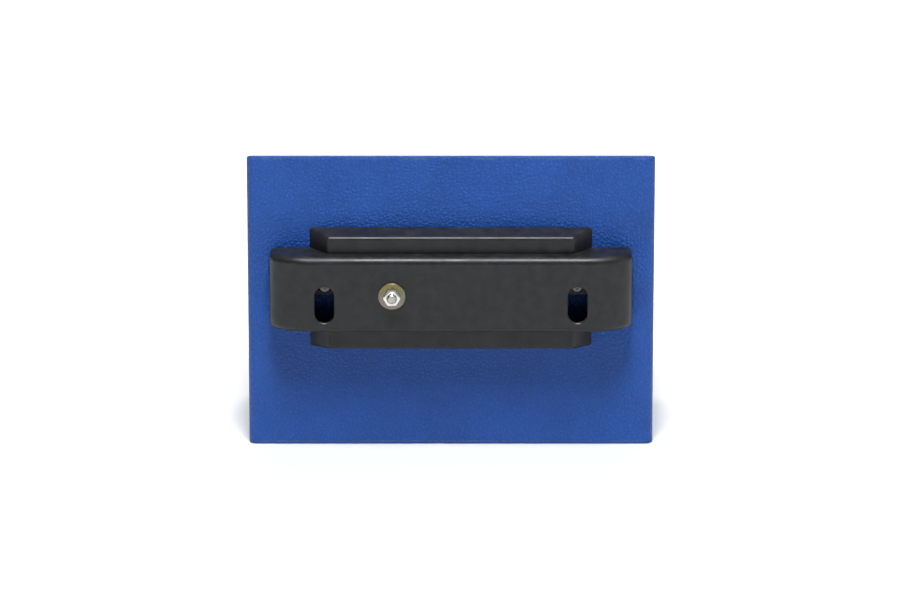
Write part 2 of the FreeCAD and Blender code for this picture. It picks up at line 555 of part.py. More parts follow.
def cup_and_flap(at, w, h, depth):
    """A moulded pocket behind the door and a flap that hangs on its own trunnions."""
    x, z = at
    t = CUP_WALL
    back = DOOR_IN_Y + depth
    outer = block(x - w / 2 - t, x + w / 2 + t, DOOR_IN_Y, back + t, z - h / 2 - t, z + h / 2 + t)
    inner = block(x - w / 2, x + w / 2, DOOR_IN_Y - 1, back, z - h / 2, z + h / 2)
    pivot_y, pivot_z = DOOR_IN_Y + 2.5, z + h / 2 - 2.6
    holes = rod_x(1.5 + FIT, x - w / 2 - t - 1, x + w / 2 + t + 1, pivot_y, pivot_z)
    cup = outer.cut([inner, holes])
    side = w / 2 - 0.6
    leaf = block(x - side, x + side, pivot_y - 1.0, pivot_y + 1.0, z - h / 2 + 0.8, pivot_z)
    barrel = rod_x(2.0, x - side, x + side, pivot_y, pivot_z)
    axle = rod_x(1.5, x - w / 2 - t + 0.2, x + w / 2 + t - 0.2, pivot_y, pivot_z)
    return cup, join(leaf, barrel, axle)


def coin_return():
    cup, flap = cup_and_flap(RETURN_AT, RETURN_W, RETURN_H, RETURN_D)
    x, z = RETURN_AT[0], RETURN_AT[1] + RETURN_H / 2
    mouth = block(x - 12, x + 12, DOOR_IN_Y + 14, DOOR_IN_Y + 38, z - 1, z + 3)
    return {"coin_return_cup": cup.cut(mouth), "coin_return_flap": flap}


def ticket_outlet():
    """The ticket pocket has a throat at the back that leads down from the printer."""
    cup, flap = cup_and_flap(TICKET_AT, TICKET_W, TICKET_H, TICKET_D)
    x, z = TICKET_AT
    top = PLATEN_Z + PLATEN_R - 3.0
    low = z + TICKET_H / 2 + CUP_WALL
    half = PAPER_W / 2 + 2.0
    y0, y1 = DOOR_IN_Y + TICKET_D - 10, UNIT_END_Y
    throat = block(x - half - CUP_WALL, x + half + CUP_WALL, y0, y1, low - CUP_WALL, top)
    passage = block(x - half, x + half, y0 + CUP_WALL, y1 - CUP_WALL, low, top + 1)
    mouth = block(x - half, x + half, y0 + CUP_WALL, DOOR_IN_Y + TICKET_D, low - 3, low + 1)
    pocket = block(x - TICKET_W / 2, x + TICKET_W / 2, y0, DOOR_IN_Y + TICKET_D,
                   z - TICKET_H / 2, z + TICKET_H / 2)
    return {"ticket_cup": join(cup, throat).cut([passage, mouth, pocket]), "ticket_flap": flap}


# ---- cards -----------------------------------------------------------------------------------
def card_units():
    pad = soften_front(panel(PAD_AT, PAD_W, PAD_H, DOOR_FACE_Y - 4, DOOR_FACE_Y, 9.0), 1.8)
    pad = join(pad, panel(PAD_AT, PAD_W - 14.6, PAD_H - 14.6, DOOR_FACE_Y, DOOR_IN_Y, 3.7))
    board = panel(PAD_AT, PAD_W - 8, PAD_H - 8, DOOR_IN_Y, DOOR_IN_Y + 1.6, 2.0)
    shield = panel((PAD_AT[0] + 12, PAD_AT[1] + 4), 30, 22, DOOR_IN_Y + 1.6, DOOR_IN_Y + 5.0)
    plug = panel((PAD_AT[0] - 24, PAD_AT[1] - 12), 14, 7, DOOR_IN_Y + 1.6, DOOR_IN_Y + 8.0)
    bezel = soften_front(panel(CARD_AT, 72, 28, DOOR_FACE_Y - 6, DOOR_FACE_Y, 7.0), 2.5)
    bezel = join(bezel, panel(CARD_AT, CARD_SLOT_W + 3.4, 15.4, DOOR_FACE_Y, DOOR_IN_Y, 1.7))
    slot = panel(CARD_AT, CARD_SLOT_W, CARD_SLOT_H, DOOR_FACE_Y - 8, DOOR_IN_Y + 1)
    notch = rod_y(9.0, DOOR_FACE_Y - 8, DOOR_FACE_Y - 3, CARD_AT[0], CARD_AT[1] - 2)
    reader = panel(CARD_AT, CARD_SLOT_W + 8, 18.0, DOOR_IN_Y, UNIT_END_Y - 1.0)
    path = panel(CARD_AT, CARD_SLOT_W, CARD_SLOT_H, DOOR_IN_Y - 1, UNIT_END_Y - 6.0)
    head = panel((CARD_AT[0], CARD_AT[1] + 12), 20, 6.0, DOOR_IN_Y + 12, DOOR_IN_Y + 34)
    return {"contactless_pad": pad, "contactless_board": join(board, shield, plug),
            "card_bezel": bezel.cut([slot, notch]), "card_reader": join(reader, head).cut(path)}


# ---- lock ------------------------------------------------------------------------------------
def lock():
    x, z = LOCK_AT
    cam_y = LAND_BACK_Y + GAP
    flange = soften_front(rod_y(LOCK_R + 2.5, DOOR_FACE_Y - 2, DOOR_FACE_Y, x, z), 1.0)
    body = join(flange, rod_y(LOCK_R, DOOR_FACE_Y, cam_y - 0.5, x, z))
    body = body.cut(rod_y(PLUG_R + FIT, DOOR_FACE_Y - 3, cam_y + 1, x, z))
    plug = join(rod_y(PLUG_R, DOOR_FACE_Y - 1.5, cam_y, x, z), rod_y(4.0, cam_y, cam_y + 3.5, x, z))
    plug = plug.cut(panel(LOCK_AT, 1.8, 7.5, DOOR_FACE_Y - 3, DOOR_FACE_Y + 6))
    tip = z - CAM_REACH + 6.0
    cam = join(block(x - 6, x + 6, cam_y, cam_y + 2.5, tip, z), rod_y(6.0, cam_y, cam_y + 2.5, x, tip),
               rod_y(7.5, cam_y, cam_y + 2.5, x, z))
    cam = cam.cut(rod_y(4.0 + FIT, cam_y - 1, cam_y + 4, x, z))
    return {"lock_housing": body, "lock_plug": plug, "lock_cam": cam}


def panel_nuts():
    """The nuts that clamp the four button housings and the lock behind the door."""
    places = [(at, BUTTON_SHANK_R, 4.0) for at in button_places()] + [(LOCK_AT, LOCK_R, 6.0)]
    nuts = [hexagon_y(2 * r + extra, DOOR_IN_Y, DOOR_IN_Y + 4.0, *at).cut(
        rod_y(r + FIT, DOOR_IN_Y - 1, DOOR_IN_Y + 5.0, *at)) for at, r, extra in places]
    return {"panel_nuts": group(nuts)}


# ---- chassis ---------------------------------------------------------------------------------
def chassis():
    plate = block(PLATE_X0, PLATE_X1, PLATE_Y, PLATE_BACK_Y, *PLATE_Z)
    plate = plate.cut([rod_y(CHASSIS_SCREW_R + 0.2, PLATE_Y - 1, PLATE_BACK_Y + 1, x, z)
                       for x, z in boss_places()])
    screws = []
    for x, z in boss_places():
        head = soften_front(rod_y(3.8, PLATE_Y - 2.6, PLATE_Y, x, z), 1.0)
        screws.append(join(head, rod_y(CHASSIS_SCREW_R, PLATE_Y, PLATE_BACK_Y + CHASSIS_SCREW_L, x, z)))
    board_y = PLATE_Y - 6.0
    places = [(x, z) for x in (46.0, 154.0) for z in (-34.0, 79.0)]
    standoffs = [hexagon_y(5.5, board_y, PLATE_Y, x, z) for x, z in places]
    board = block(40, 160, board_y - 1.6, board_y, -40, 85)
    front = board_y - 1.6
    chips = [block(60, 92, front - 3, front, 20, 52), block(108, 124, front - 2, front, 34, 46),
             block(44, 56, front - 14, front, -20, 20), block(70, 110, front - 10, front, -36, -26),
             block(120, 150, front - 10, front, -36, -26), block(60, 100, front - 11, front, 66, 78),
             block(132, 148, front - 16, front, 0, 16), block(132, 148, front - 16, front, 24, 40)]
    caps = [rod_y(6.0, front - 18, front, 72 + 16 * k, 0) for k in range(3)]
    psu = block(-32, 28, PLATE_Y - 35, PLATE_Y, -30, 60)
    vents = [block(-24, 20, PLATE_Y - 36, PLATE_Y - 33, z, z + 3) for z in (-18, -8, 2, 12, 22, 32, 42)]
    modem_x = PLATE_X0 + 2.0
    modem = block(modem_x, modem_x + 24, PLATE_Y - 18, PLATE_Y, 8, 62)
    modem = join(modem, *[rod_z(3.0, 62, 70, modem_x + dx, PLATE_Y - 9) for dx in (7, 17)])
    battery_x = -HALF_W + WALL + 5.0
    battery_top = FLOOR_Z + 96.0
    battery = block(battery_x, battery_x + 40, CHASSIS_Y + 1, CHASSIS_Y + 67, FLOOR_Z, battery_top)
    poles = [block(battery_x + 2, battery_x + 7, CHASSIS_Y + dy, CHASSIS_Y + dy + 1,
                   battery_top, battery_top + 8) for dy in (8, 52)]
    return {"chassis_plate": plate, "chassis_fixings": group(screws + standoffs),
            "control_board": join(board, *(chips + caps)), "power_supply": psu.cut(vents),
            "modem": modem, "battery": join(battery, *poles)}


def coin_store():
    """Coin box in its floor tray, and the duct that drops accepted coins into it."""
    x0 = COIN_AT[0] - COIN_BOX_LEAD
    x1, height = x0 + COIN_BOX_W, COIN_BOX_H
    y0, y1 = CHASSIS_Y + 1.0, CHASSIS_Y + 1.0 + COIN_BOX_D
    t = 1.2
    floor = FLOOR_Z + 1.5
    box = block(x0, x1, y0, y1, floor, floor + height)
    hollow = block(x0 + t, x1 - t, y0 + t, y1 - t, floor + t, floor + height - t)
    mouth = block(x0 + 14, x0 + 56, y0 + 4, y0 + 32, floor + height - 3, floor + height + 1)
    box = box.cut([hollow, mouth])
    tray = join(block(x0 - 3, x1 + 3, y0, PLATE_Y, FLOOR_Z, floor),
                block(x0 - 3, x0 - 1.5, y0, PLATE_Y, floor, floor + 12),
                block(x1 + 1.5, x1 + 3, y0, PLATE_Y, floor, floor + 12),
                block(x0 - 3, x1 + 3, PLATE_Y - 1.5, PLATE_Y, floor, floor + 22))
    top = floor + height + GAP
    a, b = x0 + 15, x0 + 55
    c, d = CHASSIS_Y, CHASSIS_Y + 31
    duct = block(a, b, c, d, top, top + 30).cut(
        [block(a + 1.5, b - 1.5, c + 1.5, d - 1.5, top - 1, top + 31),
         block(a + 1.5, b - 1.5, c - 1, c + 2, top + 8, top + 31)])
    arm = block(a, a + 1.5, d - 1, PLATE_Y, top, top + 20)
    foot = block(a, a + 14, PLATE_Y - 1.5, PLATE_Y, top, top + 20)
    return {"coin_box": box, "coin_box_tray": tray, "coin_funnel": join(duct, arm, foot)}


# ---- printer ---------------------------------------------------------------------------------
def spur_gear(teeth, width, x0, y, z, phase):
    pitch_r = teeth * GEAR_MODULE / 2
    root, tip = pitch_r - 1.1 * GEAR_MODULE, pitch_r + 0.85 * GEAR_MODULE
    step = 2 * math.pi / teeth
    points = []
    for k in range(teeth):
        centre = math.radians(phase) + k * step
        for r, share in ((root, -0.30), (pitch_r, -0.21), (tip, -0.10),
                         (tip, 0.10), (pitch_r, 0.21), (root, 0.30)):
            angle = centre + share * step
            points.append((y + r * math.cos(angle), z + r * math.sin(angle)))
    return prism_x(points, x0, x0 + width)


def printer():
    mesh = (PLATEN_TEETH + PINION_TEETH) * GEAR_MODULE / 2 + 0.1
    py, pz = CHASSIS_Y + PLATEN_R + 2.0, PLATEN_Z
    angle = math.radians(MESH_ANGLE)
    my, mz = py + mesh * math.cos(angle), pz + mesh * math.sin(angle)
    left, right = PAPER_X - FRAME_HALF, PAPER_X + FRAME_HALF
    low, high = PLATEN_Z - 24.0, PLATEN_Z + 28.0
    back = py + 42.0
    hinge_y, hinge_z = py + 34.0, PLATEN_Z + 18.0
    sides = [block(x, x + 2.0, CHASSIS_Y, back, low, high) for x in (left, right - 2.0)]
    base = block(left, right, CHASSIS_Y, PLATE_Y, low, low + 2)
    flange = block(left, right, PLATE_Y - 2, PLATE_Y, low, low + 36)
    wall = block(PAPER_X + 30.5, PAPER_X + 32.5, my - 10, my + 10, low, mz + 9.5)
    frame = join(base, *(sides + [flange, wall]))
    frame = frame.cut([rod_x(PLATEN_SHAFT_R + FIT, left - 1, right + 1, py, pz),
                       rod_x(2.0 + FIT, left - 1, right + 1, hinge_y, hinge_z),
                       rod_x(2.6, PAPER_X + 29, right + 1, my, mz)])
    sleeve = rod_x(PLATEN_R, PAPER_X - 30, PAPER_X + 30, py, pz).cut(
        rod_x(PLATEN_SHAFT_R + 0.02, PAPER_X - 31, PAPER_X + 31, py, pz))
    gear = spur_gear(PLATEN_TEETH, 4.0, right + 0.5, py, pz, MESH_ANGLE)
    gear = join(gear, rod_x(PLATEN_SHAFT_R, left - 2.0, right + 6.0, py, pz))
    gap_angle = 180.0 + MESH_ANGLE + 180.0 / PINION_TEETH
    pinion = spur_gear(PINION_TEETH, 4.0, right + 0.5, my, mz, gap_angle)
    motor = rod_x(MOTOR_R, PAPER_X - 2, PAPER_X + 30.5, my, mz)
    shaft = rod_x(1.5, PAPER_X + 24.0, right + 6.0, my, mz)
    motor = motor.cut(rod_x(1.5 + FIT, PAPER_X + 23.0, right, my, mz))
    pinion = join(pinion, shaft)
    head_low = pz + PLATEN_R + GAP
    head = join(block(PAPER_X - 31, PAPER_X + 31, py - 6, py + 12, head_low, head_low + 7),
                block(PAPER_X - 31, PAPER_X - 27, py + 11, hinge_y, head_low + 2, hinge_z + 3),
                block(PAPER_X + 27, PAPER_X + 31, py + 11, hinge_y, head_low + 2, hinge_z + 3),
                rod_x(4.0, PAPER_X - 31, PAPER_X + 31, hinge_y, hinge_z),
                rod_x(2.0, left - 1, right + 1, hinge_y, hinge_z))
    lever_x = PAPER_X + 14.0
    lever = join(block(lever_x, lever_x + 12, py - 4, py + 6, head_low + 7, head_low + 10),
                 block(lever_x, lever_x + 12, py - 4, py - 1, head_low + 7, head_low + 24))
    return {"printer_frame": frame, "platen_roller": sleeve, "platen_gear": gear,
            "motor_pinion": pinion, "feed_motor": motor, "print_head": head, "head_lever": lever}


def paper_supply():
    y = PLATE_Y - ROLL_R - 7.0
    z = ROLL_Z
    roll = rod_x(ROLL_R, PAPER_X - PAPER_W / 2, PAPER_X + PAPER_W / 2, y, z).cut(
        rod_x(SPINDLE_R + 0.1, PAPER_X - 40, PAPER_X + 40, y, z))
    spindle = join(rod_x(SPINDLE_R, PAPER_X - 31, PAPER_X + 31, y, z),
                   rod_x(3.0, PAPER_X - 37, PAPER_X + 37, y, z))
    brackets = []
    for sx in (-1, 1):
        inner, outer = PAPER_X + sx * 33.0, PAPER_X + sx * 35.0
        x0, x1 = min(inner, outer), max(inner, outer)
        arm = block(x0, x1, y - 9, PLATE_Y, z - 9, z + 9)
        foot_end = outer + sx * 10
        foot = block(min(inner, foot_end), max(inner, foot_end), PLATE_Y - 2, PLATE_Y, z - 9, z + 9)
        brackets.append(join(arm, foot).cut(rod_x(3.0 + FIT, x0 - 1, x1 + 1, y, z)))
    return {"paper_roll": roll, "paper_spindle": spindle, "spindle_brackets": group(brackets)}


# ---- build and write -------------------------------------------------------------------------
def build():
    nodes = {"front_frame": front_frame(), "rear_bracket": rear_bracket(), "door": door(),
             "door_gasket": door_gasket()}
    for made in (housing(), bracket_fixings(), hinge(), display(), buttons(), coin_path(), coin_return(),
                 ticket_outlet(), card_units(), lock(), panel_nuts(), chassis(), coin_store(), printer(),
                 paper_supply()):
        nodes.update(made)
    return nodes


os.makedirs("parts", exist_ok=True)
for node, shape in sorted(build().items()):
    shape.exportStep("parts/" + node + ".step")
    print(node, len(shape.Solids), "solid(s)", round(shape.Volume / 1000.0, 2), "cm3", shape.isValid())
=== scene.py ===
import json
import math

import bmesh
import bpy
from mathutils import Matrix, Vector


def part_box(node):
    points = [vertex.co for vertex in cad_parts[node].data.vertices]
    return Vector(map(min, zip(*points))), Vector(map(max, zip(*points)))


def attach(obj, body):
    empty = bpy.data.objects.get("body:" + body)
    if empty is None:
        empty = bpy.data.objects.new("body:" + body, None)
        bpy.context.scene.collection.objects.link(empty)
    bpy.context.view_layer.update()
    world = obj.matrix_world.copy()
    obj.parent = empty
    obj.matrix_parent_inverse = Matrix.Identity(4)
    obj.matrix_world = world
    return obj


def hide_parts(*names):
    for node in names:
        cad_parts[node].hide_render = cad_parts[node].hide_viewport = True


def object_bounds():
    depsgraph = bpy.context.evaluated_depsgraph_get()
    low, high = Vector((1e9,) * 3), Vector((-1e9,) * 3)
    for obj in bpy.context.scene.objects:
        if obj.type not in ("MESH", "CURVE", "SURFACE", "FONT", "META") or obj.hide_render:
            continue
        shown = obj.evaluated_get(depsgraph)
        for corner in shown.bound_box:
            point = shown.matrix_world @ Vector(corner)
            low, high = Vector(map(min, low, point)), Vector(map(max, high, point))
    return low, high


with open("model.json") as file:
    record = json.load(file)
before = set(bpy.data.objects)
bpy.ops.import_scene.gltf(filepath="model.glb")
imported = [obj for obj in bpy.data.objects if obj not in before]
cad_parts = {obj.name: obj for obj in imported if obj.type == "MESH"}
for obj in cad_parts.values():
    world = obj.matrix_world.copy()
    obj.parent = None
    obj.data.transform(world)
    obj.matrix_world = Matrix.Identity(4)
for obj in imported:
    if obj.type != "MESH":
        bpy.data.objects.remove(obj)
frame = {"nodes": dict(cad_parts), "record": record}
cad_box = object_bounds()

# A compact parking pay station, seen from its back, where the post bracket is.
# Metres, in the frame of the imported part: +Y out of the bracket, user on the -Y side, +Z up.

MM = 0.001
SHARP = math.radians(28)
NODES = frame["nodes"]


def middle(node):
    low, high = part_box(node)
    return (low + high) / 2


# ---- node materials --------------------------------------------------------------------------
class Surface:
    """One procedural material. Each method adds a node and returns the socket it makes."""

    def __init__(self, name, rough=0.5, metal=0.0, **sockets):
        self.material = bpy.data.materials.new(name)
        self.material.use_nodes = True
        self.tree = self.material.node_tree
        self.shader = self.tree.nodes["Principled BSDF"]
        self.place = self.add("ShaderNodeTexCoord").outputs["Object"]
        self.shader.inputs["Roughness"].default_value = rough
        self.shader.inputs["Metallic"].default_value = metal
        for socket, value in sockets.items():
            self.shader.inputs[socket.replace("_", " ")].default_value = value

    def add(self, kind, **settings):
        node = self.tree.nodes.new(kind)
        for key, value in settings.items():
            setattr(node, key, value)
        return node

    def join(self, value, socket):
        if isinstance(value, bpy.types.NodeSocket):
            self.tree.links.new(value, socket)
        elif socket.type == "RGBA":
            socket.default_value = (*value, 1.0)[:4]
        else:
            socket.default_value = value

    def stretch(self, x=1.0, y=1.0, z=1.0):
        node = self.add("ShaderNodeMapping")
        self.join(self.place, node.inputs["Vector"])
        node.inputs["Scale"].default_value = (x, y, z)
        return node.outputs["Vector"]

    def noise(self, size, detail=4.0, rough=0.55, place=None, distortion=0.0):
        """Fractal noise, 0 to 1, whose features are about size metres across."""
        node = self.add("ShaderNodeTexNoise")
        self.join(place or self.place, node.inputs["Vector"])
        node.inputs["Scale"].default_value = 1.0 / size
        node.inputs["Detail"].default_value = detail
        node.inputs["Roughness"].default_value = rough
        node.inputs["Distortion"].default_value = distortion
        return node.outputs["Fac"]

    def cells(self, size, feature="F1", place=None, randomness=1.0):
        node = self.add("ShaderNodeTexVoronoi", feature=feature)
        self.join(place or self.place, node.inputs["Vector"])
        node.inputs["Scale"].default_value = 1.0 / size
        node.inputs["Randomness"].default_value = randomness
        return node.outputs["Distance"]

    def maths(self, operation, a, b=0.0, c=0.0, clamp=False):
        node = self.add("ShaderNodeMath", operation=operation, use_clamp=clamp)
        for value, socket in zip((a, b, c), node.inputs):
            self.join(value, socket)
        return node.outputs[0]

    def level(self, value, low, high, to_low=0.0, to_high=1.0):
        node = self.add("ShaderNodeMapRange")
        for item, socket in zip((value, low, high, to_low, to_high), node.inputs):
            self.join(item, socket)
        return node.outputs[0]

    def spread(self, noise, to_low=0.0, to_high=1.0):
        """Fractal noise seldom leaves 0.3 to 0.7, so that part is stretched over the range."""
        return self.level(noise, 0.3, 0.7, to_low, to_high)

    def blend(self, fac, a, b, mode="MIX"):
        node = self.add("ShaderNodeMix", data_type="RGBA", blend_type=mode)
        self.join(fac, node.inputs["Factor"])
        self.join(a, node.inputs[6])
        self.join(b, node.inputs[7])
        return node.outputs[2]

    def ramp(self, fac, *stops):
        node = self.add("ShaderNodeValToRGB")
        elements = node.color_ramp.elements
        while len(elements) < len(stops):
            elements.new(1.0)
        for element, (at, colour) in zip(elements, stops):
            element.position = at
            element.color = (*colour, 1.0)
        self.join(fac, node.inputs["Fac"])
        return node.outputs["Color"]

    def axis(self, which):
        node = self.add("ShaderNodeSeparateXYZ")
        self.join(self.place, node.inputs[0])
        return node.outputs[which]

    def distance_from(self, a, b, at_a, at_b):
        """Distance from an axis line; a and b are two of "X", "Y" and "Z"."""
        da = self.maths("SUBTRACT", self.axis(a), at_a)
        db = self.maths("SUBTRACT", self.axis(b), at_b)
        da_squared, db_squared = self.maths("MULTIPLY", da, da), self.maths("MULTIPLY", db, db)
        squares = self.maths("ADD", da_squared, db_squared)
        return self.maths("SQRT", squares)

    def facing_up(self):
        """1 on faces that look up, 0 on faces that look down."""
        node = self.add("ShaderNodeSeparateXYZ")
        self.join(self.add("ShaderNodeNewGeometry").outputs["Normal"], node.inputs[0])
        return self.level(node.outputs["Z"], -1.0, 1.0)

    def edges(self, radius):
        """1 on sharp outside edges, fading to 0 within the radius."""
        round_normal = self.add("ShaderNodeBevel", samples=4)
        round_normal.inputs["Radius"].default_value = radius
        dot = self.add("ShaderNodeVectorMath", operation="DOT_PRODUCT")
        self.join(round_normal.outputs[0], dot.inputs[0])
        self.join(self.add("ShaderNodeNewGeometry").outputs["Normal"], dot.inputs[1])
        return self.level(dot.outputs["Value"], 0.995, 0.80)

    def colour(self, value):
        self.join(value, self.shader.inputs["Base Color"])

    def roughness(self, value):
        self.join(value, self.shader.inputs["Roughness"])

    def bump(self, height, depth, strength=1.0, after=None):
        node = self.add("ShaderNodeBump")
        node.inputs["Strength"].default_value = strength
        node.inputs["Distance"].default_value = depth
        self.join(height, node.inputs["Height"])
        if after is not None:
            self.join(after, node.inputs["Normal"])
        self.join(node.outputs["Normal"], self.shader.inputs["Normal"])
        return node.outputs["Normal"]


def shade(colour, factor):
    return tuple(min(1.0, c * factor) for c in colour)


PEBBLE = 3.4 * MM             # one pebble of the leather grain
PEBBLE_DEPTH = 0.42 * MM
PEBBLE_WANDER = 6 * MM        # size of the drift that keeps pebbles out of rows
PEBBLE_SHIFT = 2.2 * MM       # how far that drift moves them
PAINT_GRAIN = 0.9 * MM
PAINT_GRAIN_DEPTH = 0.07 * MM
RUBBED_AND_SHEEN_BLUE = (0.30, 0.34, 0.46)
PLATING_GRAIN = 0.5 * MM
PLATING_DEPTH = 0.012 * MM
CHROMATE_TINTS = ((0.05, (0.25, 0.18, 0.16)), (0.35, (0.22, 0.19, 0.16)),
                  (0.55, (0.17, 0.19, 0.12)), (0.75, (0.25, 0.22, 0.10)),
                  (0.95, (0.31, 0.26, 0.11)))
TRACKS_PER_METRE = 90.0       # scale of the grid that draws a board's copper
PAPER_RING = 0.7 * MM


def leather_paint(name, colour):
    """Powder coat with a moulded leather grain, its creases darkened with painted shade and its
    edges lightened, partly rubbed paint and partly a painted reflection.
    """
    s = Surface(name, rough=0.42, Specular_IOR_Level=0.30)
    warped = s.add("ShaderNodeVectorMath", operation="ADD")
    wander = s.add("ShaderNodeTexNoise")
    wander.inputs["Scale"].default_value = 1.0 / PEBBLE_WANDER
    shift = s.add("ShaderNodeVectorMath", operation="SCALE")
    s.join(wander.outputs["Color"], shift.inputs[0])
    shift.inputs["Scale"].default_value = PEBBLE_SHIFT
    s.join(s.place, warped.inputs[0])
    s.join(shift.outputs[0], warped.inputs[1])
    pebble = s.cells(PEBBLE, "SMOOTH_F1", warped.outputs[0])
    crease = s.cells(PEBBLE, "DISTANCE_TO_EDGE", warped.outputs[0])
    fine = s.noise(PAINT_GRAIN, 3.0)
    cloud = s.noise(42 * MM, 5.0, 0.6)
    broad = s.noise(180 * MM, 2.0, 0.5)
    tone = s.maths("ADD", s.spread(cloud, -0.08, 0.08), s.spread(broad, -0.05, 0.05))
    # darker in the creases between pebbles: painted shade
    tone = s.maths("ADD", tone, s.level(crease, 0.0, 0.22, -0.16, 0.03))
    tone = s.maths("ADD", tone, s.spread(fine, -0.05, 0.05))
    middle_tone = s.maths("ADD", tone, 0.5, clamp=True)
    light = s.blend(middle_tone, shade(colour, 0.45), shade(colour, 1.55))
    # edges lightened towards a pale blue in patches: partly rubbed paint, partly a painted
    # reflection of the bright room
    worn = s.maths("MULTIPLY", s.edges(1.6 * MM), s.level(s.noise(14 * MM, 4.0), 0.45, 0.75))
    s.colour(s.blend(s.maths("MULTIPLY", worn, 0.35), light, RUBBED_AND_SHEEN_BLUE))
    s.roughness(s.spread(cloud, 0.38, 0.52))
    domed = s.maths("MULTIPLY", pebble, -1.0)
    grain = s.maths("ADD", domed, s.level(crease, 0.0, 0.3, 0.0, 0.8))
    first = s.bump(grain, PEBBLE_DEPTH, 0.90)
    s.bump(fine, PAINT_GRAIN_DEPTH, 0.45, first)
    return s.material


def moulded(name, colour, rough=0.5, grain=0.6, edge_highlight=1.35, top_sheen=0.0, clear=0.0, gloss=0.5):
    """Moulded plastic: fine spark texture, faint flow marks, edges painted lighter as a highlight,
    and, where asked, up-facing faces painted lighter as a sheen.
    """
    s = Surface(name, rough=rough, Coat_Weight=clear, Coat_Roughness=0.25,
                Specular_IOR_Level=gloss)
    fine = s.noise(grain * MM, 2.0, 0.7)
    flow = s.noise(26 * MM, 4.0, 0.5, distortion=0.6)
    body = s.blend(s.spread(flow), shade(colour, 0.92), shade(colour, 1.10))
    # edges blended towards a lighter copy of the colour: a painted highlight
    body = s.blend(s.maths("MULTIPLY", s.edges(0.8 * MM), 0.6), body, shade(colour, edge_highlight))
    if top_sheen:
        # up-facing faces lightened towards grey in patches: a painted sheen from the light
        # overhead
        painted_top_sheen = s.maths("MULTIPLY", s.facing_up(), s.level(s.noise(9 * MM, 6.0), 0.35, 0.7))
        body = s.blend(s.maths("MULTIPLY", painted_top_sheen, top_sheen), body, (0.30, 0.30, 0.30))
    s.colour(body)
    s.roughness(s.spread(flow, rough - 0.06, rough + 0.08))
    first = s.bump(fine, 0.035 * MM, 0.5)
    s.bump(flow, 0.25 * MM, 0.25, first)
    return s.material


def zinc(name, colour, rough):
    """Electroplated steel: a fine matt grain, duller in patches."""
    s = Surface(name, rough=rough, metal=1.0)
    patch = s.noise(5 * MM, 4.0, 0.6, distortion=0.8)
    fine = s.noise(PLATING_GRAIN, 3.0, 0.7)
    s.colour(s.blend(s.level(fine, 0.35, 0.65), shade(colour, 0.86), shade(colour, 1.06)))
    s.roughness(s.spread(patch, rough - 0.07, rough + 0.12))
    s.bump(fine, PLATING_DEPTH, 0.6)
    return s.material


def passivated(name, colour):
    """Yellow chromate over zinc: its film runs from pink through green to straw up the washer."""
    s = Surface(name, rough=0.40, metal=1.0)
    at = middle("bracket_washer")
    reach = (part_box("bracket_washer")[1].z - at.z) * 1.1
    drift = s.spread(s.noise(6 * MM, 4.0, 0.6, distortion=1.2), -0.22, 0.22)
    height = s.level(s.axis("Z"), at.z - reach, at.z + reach)
    film = s.maths("ADD", height, drift, clamp=True)
    tints = s.ramp(film, *CHROMATE_TINTS)
    fine = s.noise(PLATING_GRAIN, 3.0, 0.7)
    s.colour(s.blend(s.level(fine, 0.35, 0.65, 0.0, 0.35), tints, colour))
    s.roughness(s.spread(fine, 0.33, 0.50))
    s.bump(fine, PLATING_DEPTH, 0.6)
    return s.material


def brushed(name, colour, along="X", rough=0.30):
    """Metal brushed one way: long fine streaks, with faint smudges."""
    s = Surface(name, rough=rough, metal=1.0)
    scales = {"X": (0.04, 1, 1), "Z": (1, 1, 0.04)}[along]
    streak = s.noise(0.35 * MM, 3.0, 0.7, s.stretch(*scales))
    smudge = s.noise(22 * MM, 4.0, 0.6)
    s.colour(s.blend(s.spread(streak), shade(colour, 0.80), shade(colour, 1.08)))
    worn = s.level(smudge, 0.35, 0.7, rough - 0.06, rough + 0.14)
    s.roughness(s.maths("ADD", worn, s.spread(streak, -0.04, 0.04)))
    s.bump(streak, 0.02 * MM, 0.6)
    return s.material


def sheet_zinc(name, colour):
    """Galvanised sheet with a soft spangle."""
    s = Surface(name, rough=0.36, metal=1.0)
    flakes = s.add("ShaderNodeTexVoronoi")
    s.join(s.place, flakes.inputs["Vector"])
    flakes.inputs["Scale"].default_value = 1.0 / (7 * MM)
    grey = s.maths("MULTIPLY_ADD", flakes.outputs["Color"], 0.22, 0.86)
    s.colour(s.blend(1.0, colour, grey, "MULTIPLY"))
    s.roughness(s.level(flakes.outputs["Color"], 0.0, 1.0, 0.28, 0.46))
    s.bump(s.noise(0.8 * MM, 3.0), 0.012 * MM, 0.5)
    return s.material


def rubber(name, colour):
    s = Surface(name, rough=0.78, Specular_IOR_Level=0.3)
    fine = s.noise(0.7 * MM, 4.0, 0.7)
    bloom = s.noise(12 * MM, 4.0)
    s.colour(s.blend(s.level(bloom, 0.3, 0.75), shade(colour, 0.85), shade(colour, 1.9)))
    s.roughness(s.spread(bloom, 0.68, 0.88))
    s.bump(fine, 0.05 * MM, 0.7)
    return s.material


def glazing(name, tint, rough=0.03):
    """Clear or smoked acrylic with wiping scratches."""
    s = Surface(name, rough=rough, IOR=1.49, Transmission_Weight=1.0)
    wipe = s.noise(1.2 * MM, 3.0, 0.7, s.stretch(0.06, 1.0, 1.0))
    haze = s.noise(16 * MM, 4.0)
    s.colour(s.blend(s.spread(haze), shade(tint, 0.94), tint))
    s.roughness(s.level(haze, 0.3, 0.75, rough, rough + 0.07))
    s.bump(wipe, 0.004 * MM, 0.3)
    return s.material


